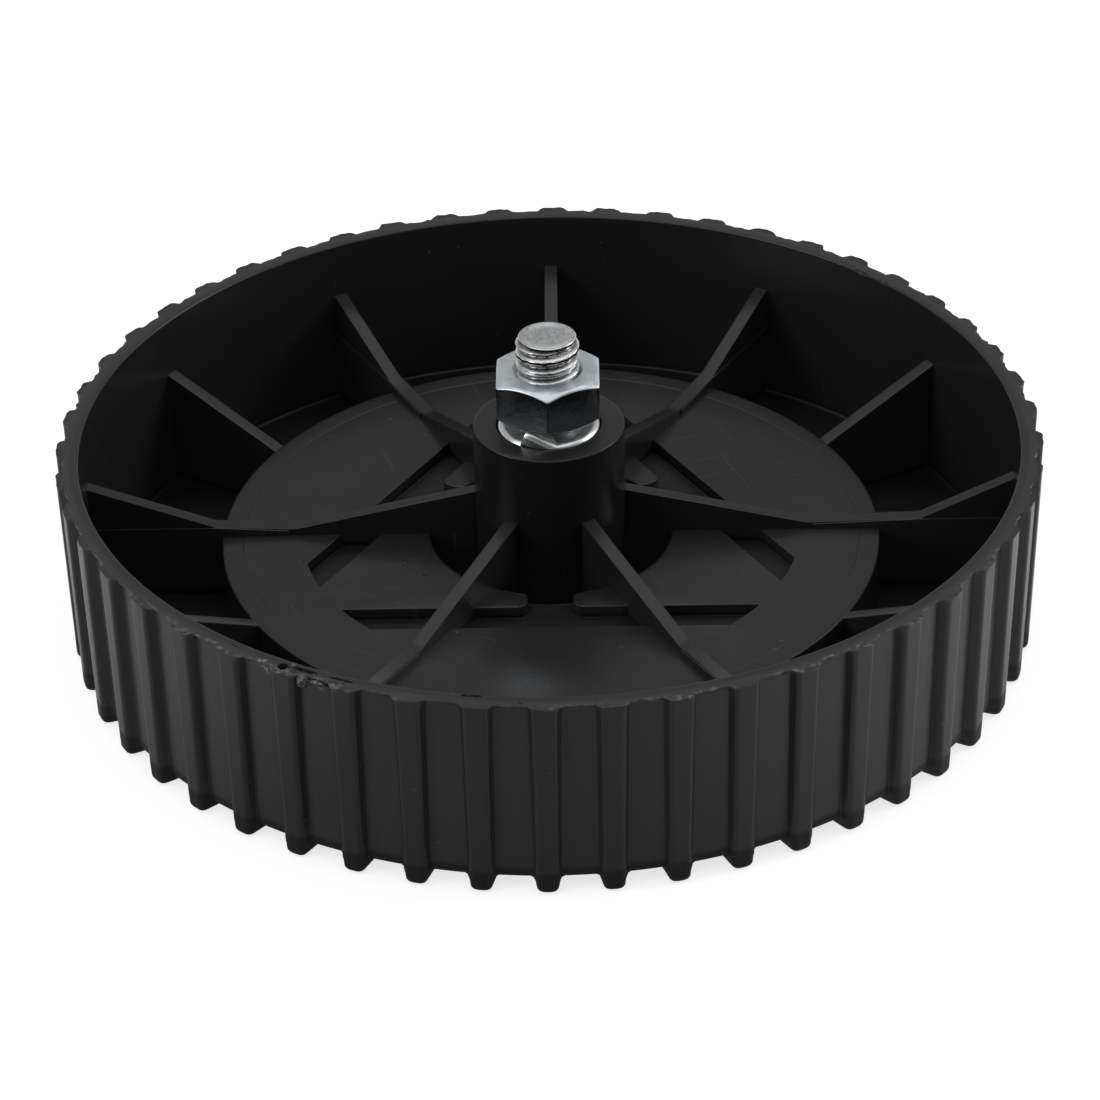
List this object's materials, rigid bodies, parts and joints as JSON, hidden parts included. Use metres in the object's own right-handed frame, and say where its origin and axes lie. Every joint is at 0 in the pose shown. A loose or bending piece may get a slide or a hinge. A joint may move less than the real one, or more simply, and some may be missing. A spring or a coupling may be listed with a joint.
{
  "type": "moulded plastic wheel with axle bolt",
  "caption": "Ribbed plastic wheel with a lugged tread, recessed disc and tall hub, turning on a shouldered axle bolt kept by a spring washer and a hex nut.",
  "frame": {"origin": "middle of the wheel's outer side face, on the axle's axis, where the wheel rests when laid flat", "axes": "+Z along the axle from the outer face to the threaded end; X and Y in the outer face"},
  "size_m": [0.1524, 0.1524, 0.0484],
  "materials": {
    "wheel_plastic": "satin black moulded plastic",
    "bolt_zinc": "bright zinc plate",
    "washer_zinc": "dull zinc plate on spring steel",
    "nut_zinc": "bright zinc plate"
  },
  "bodies": {
    "axle": {"axle_bolt": "bolt_zinc", "spring_washer": "washer_zinc", "hex_nut": "nut_zinc"},
    "wheel": {"wheel": "wheel_plastic"}
  },
  "joints": [
    {"name": "wheel_spin", "type": "hinge", "parent": "axle", "child": "wheel", "pos_m": [0, 0, 0.016], "axis": [0, 0, 1], "continuous": true}
  ]
}
